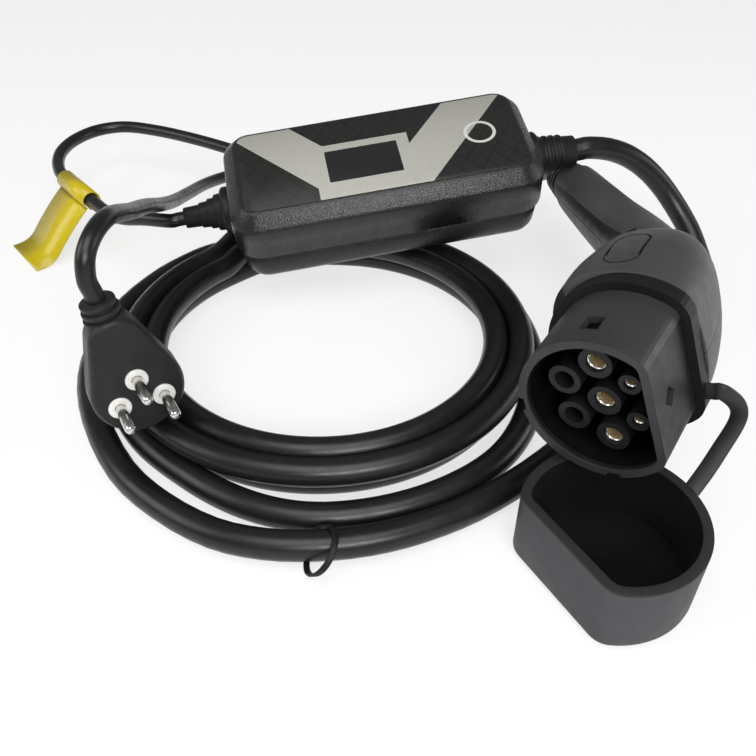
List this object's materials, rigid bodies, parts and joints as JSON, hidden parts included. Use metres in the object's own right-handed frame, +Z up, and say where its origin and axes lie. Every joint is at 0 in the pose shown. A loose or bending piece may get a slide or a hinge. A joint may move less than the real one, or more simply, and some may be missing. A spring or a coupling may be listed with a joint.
{
  "type": "portable_ev_charger",
  "caption": "Portable car charger: control box with display, round vehicle connector with dust cap, mains plug, and a coiled black cable",
  "frame": {"origin": "middle of the footprint of the control box, connector and dust cap together, on the floor; the cables, the plug and what is on the cables are left out of it", "axes": "+Z up; the connector nose faces -Y and looks slightly down; the dust cap stands under the nose on the floor; the control box lies to the back and left on the coil"},
  "size_m": [0.4848, 0.3532, 0.1143],
  "materials": {
    "shell_plastic": "fine-grained dark grey moulding",
    "black_rubber": "matte black rubber",
    "panel_film": "satin printed film, silver and dark grey",
    "window_plastic": "dark tinted clear window",
    "board_resin": "green lacquered board",
    "component_plastic": "moulded component housings",
    "screw_steel": "zinc plated screws",
    "nose_plastic": "dark moulded plastic",
    "contact_metal": "silver plated sockets, gold coloured inside",
    "gun_plastic": "dark grey fine-grained moulding",
    "cap_rubber": "dark grey soft rubber",
    "plug_plastic": "black moulded plug",
    "pin_nickel": "bright nickel plated pins",
    "white_plastic": "white moulded collars",
    "cable_rubber": "black cable sheath with a soft sheen",
    "tag_film": "glossy yellow label film, bare"
  },
  "bodies": {
    "root": {"box_base": "shell_plastic", "box_lid": "shell_plastic", "box_gasket": "black_rubber", "front_panel": "panel_film", "display_window": "window_plastic", "display_module": "board_resin", "circuit_board": "board_resin", "relays": "component_plastic", "supply_transformer": "component_plastic", "leakage_sensor": "component_plastic", "terminal_block": "board_resin", "box_screws": "screw_steel", "mains_gland": "black_rubber", "ev_gland": "black_rubber", "nose_sleeve": "nose_plastic", "contact_carrier": "nose_plastic", "power_contacts": "contact_metal", "signal_contacts": "contact_metal", "seal_collar": "black_rubber", "shell_upper": "gun_plastic", "shell_lower": "gun_plastic", "side_cover": "gun_plastic", "grip_strip": "black_rubber", "cable_boot": "black_rubber", "gun_screws": "screw_steel", "dust_cap": "cap_rubber", "cap_strap": "cap_rubber", "plug_body": "plug_plastic", "plug_pins": "pin_nickel", "pin_collars": "white_plastic", "ev_coil": "cable_rubber", "ev_lead_box": "cable_rubber", "ev_lead_gun": "cable_rubber", "mains_cord": "cable_rubber", "cord_tag": "tag_film", "tie_band": "black_rubber"}
  },
  "joints": []
}
